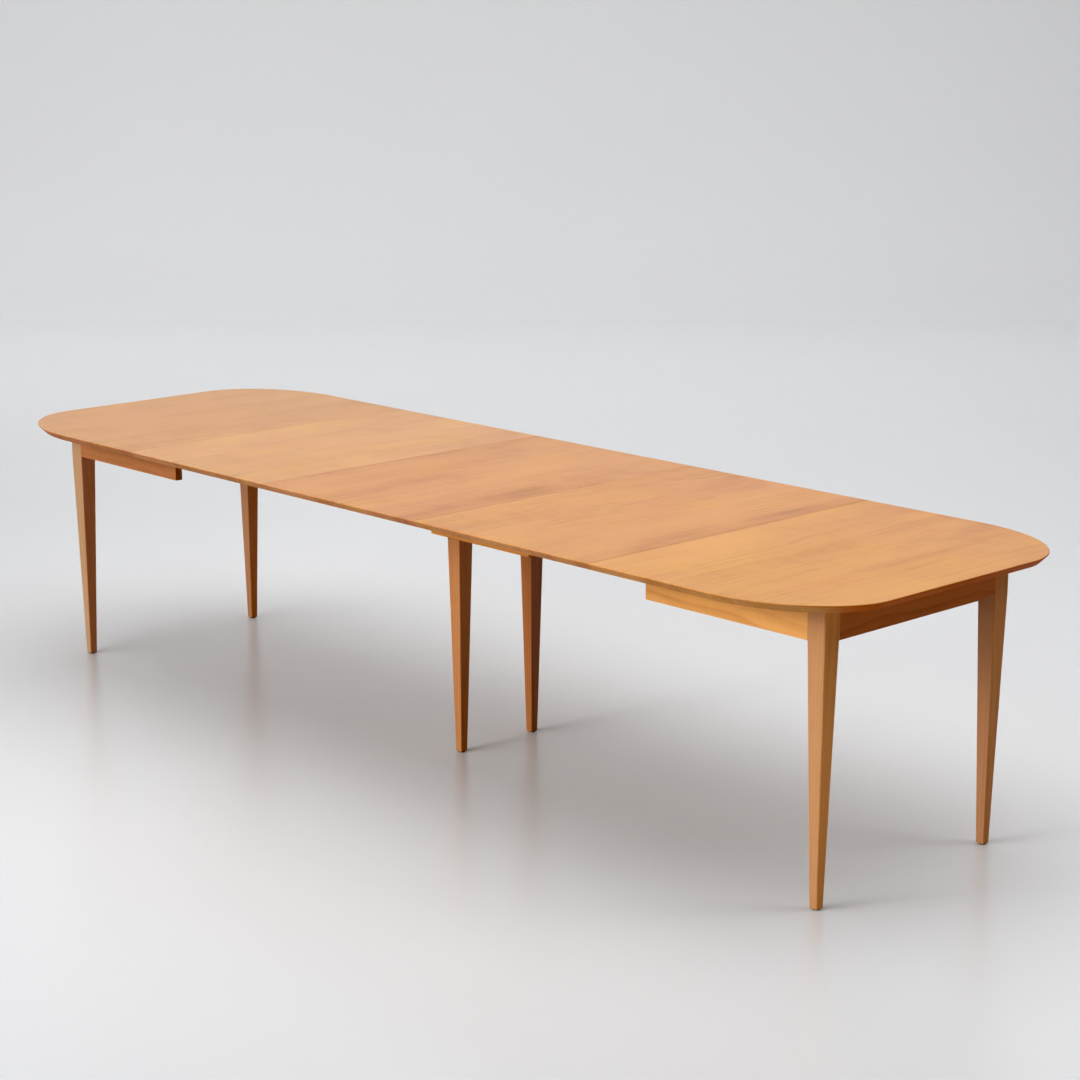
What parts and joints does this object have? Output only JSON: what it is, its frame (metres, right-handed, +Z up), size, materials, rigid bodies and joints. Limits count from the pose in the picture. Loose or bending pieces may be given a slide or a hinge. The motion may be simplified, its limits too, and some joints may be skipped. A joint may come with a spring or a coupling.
{
  "type": "extension dining table",
  "caption": "Long oval-ended wooden dining table opened on nested slides, with loose leaves laid in, square tapered legs and a pair of middle legs.",
  "frame": {"origin": "on the floor under the middle of the top, with all leaves in", "axes": "+X along the length of the table, +Y across it, +Z up"},
  "size_m": [3.19, 0.994, 0.73],
  "materials": {
    "top_wood": "satin lacquer over honey-coloured hardwood, grain across the table",
    "leg_wood": "satin lacquer, grain along the leg",
    "apron_wood": "satin lacquer, grain along the rail",
    "slide_wood": "waxed pale hardwood",
    "frame_wood": "unfinished hardwood",
    "steel": "zinc plated",
    "felt": "brown felt"
  },
  "bodies": {
    "left_end": {"back_slide_a": "slide_wood", "front_slide_a": "slide_wood", "left_back_apron": "apron_wood", "left_back_cleat": "frame_wood", "left_back_corner_block": "frame_wood", "left_back_leg": "leg_wood", "left_cross_rail": "frame_wood", "left_end_apron": "apron_wood", "left_end_top": "top_wood", "left_foot_glides": "felt", "left_front_apron": "apron_wood", "left_front_cleat": "frame_wood", "left_front_corner_block": "frame_wood", "left_front_leg": "leg_wood", "left_hanger_bolts": "steel", "left_top_screws": "steel"},
    "back_slide_b_body": {"back_slide_b": "slide_wood"},
    "middle_frame": {"back_slide_c": "slide_wood", "front_slide_c": "slide_wood", "middle_back_leg": "leg_wood", "middle_back_rail": "apron_wood", "middle_foot_glides": "felt", "middle_front_leg": "leg_wood", "middle_front_rail": "apron_wood", "middle_left_cross_rail": "apron_wood", "middle_leg_bolts": "steel", "middle_right_cross_rail": "apron_wood", "middle_slide_screws": "steel"},
    "back_slide_d_body": {"back_slide_d": "slide_wood"},
    "right_end": {"back_slide_e": "slide_wood", "front_slide_e": "slide_wood", "right_back_apron": "apron_wood", "right_back_cleat": "frame_wood", "right_back_corner_block": "frame_wood", "right_back_leg": "leg_wood", "right_cross_rail": "frame_wood", "right_end_apron": "apron_wood", "right_end_top": "top_wood", "right_foot_glides": "felt", "right_front_apron": "apron_wood", "right_front_cleat": "frame_wood", "right_front_corner_block": "frame_wood", "right_front_leg": "leg_wood", "right_hanger_bolts": "steel", "right_top_screws": "steel"},
    "front_slide_b_body": {"front_slide_b": "slide_wood"},
    "front_slide_d_body": {"front_slide_d": "slide_wood"},
    "left_leaf": {"left_leaf_back_batten": "frame_wood", "left_leaf_front_batten": "frame_wood", "left_leaf_panel": "top_wood", "left_leaf_screws": "steel"},
    "middle_leaf": {"middle_leaf_back_batten": "frame_wood", "middle_leaf_front_batten": "frame_wood", "middle_leaf_panel": "top_wood", "middle_leaf_screws": "steel"},
    "right_leaf": {"right_leaf_back_batten": "frame_wood", "right_leaf_front_batten": "frame_wood", "right_leaf_panel": "top_wood", "right_leaf_screws": "steel"}
  },
  "joints": [
    {"name": "left_end_slide", "type": "slide", "parent": "middle_frame", "child": "left_end", "axis": [-1, 0, 0], "range_m": [0, 0.05]},
    {"name": "right_end_slide", "type": "slide", "parent": "middle_frame", "child": "right_end", "axis": [1, 0, 0], "range_m": [0, 0.05]},
    {"name": "front_slide_b_travel", "type": "slide", "parent": "middle_frame", "child": "front_slide_b_body", "axis": [-1, 0, 0], "range_m": [0, 0.025]},
    {"name": "front_slide_d_travel", "type": "slide", "parent": "middle_frame", "child": "front_slide_d_body", "axis": [1, 0, 0], "range_m": [0, 0.025]},
    {"name": "back_slide_b_travel", "type": "slide", "parent": "middle_frame", "child": "back_slide_b_body", "axis": [-1, 0, 0], "range_m": [0, 0.025]},
    {"name": "back_slide_d_travel", "type": "slide", "parent": "middle_frame", "child": "back_slide_d_body", "axis": [1, 0, 0], "range_m": [0, 0.025]},
    {"name": "left_leaf_lift", "type": "slide", "parent": "middle_frame", "child": "left_leaf", "axis": [0, 0, 1], "range_m": [0, 0.25]},
    {"name": "middle_leaf_lift", "type": "slide", "parent": "middle_frame", "child": "middle_leaf", "axis": [0, 0, 1], "range_m": [0, 0.25]},
    {"name": "right_leaf_lift", "type": "slide", "parent": "middle_frame", "child": "right_leaf", "axis": [0, 0, 1], "range_m": [0, 0.25]}
  ],
  "couplings": [
    {"joint": "front_slide_b_travel", "follows": "left_end_slide", "ratio": 0.5},
    {"joint": "front_slide_d_travel", "follows": "right_end_slide", "ratio": 0.5},
    {"joint": "back_slide_b_travel", "follows": "left_end_slide", "ratio": 0.5},
    {"joint": "back_slide_d_travel", "follows": "right_end_slide", "ratio": 0.5}
  ]
}
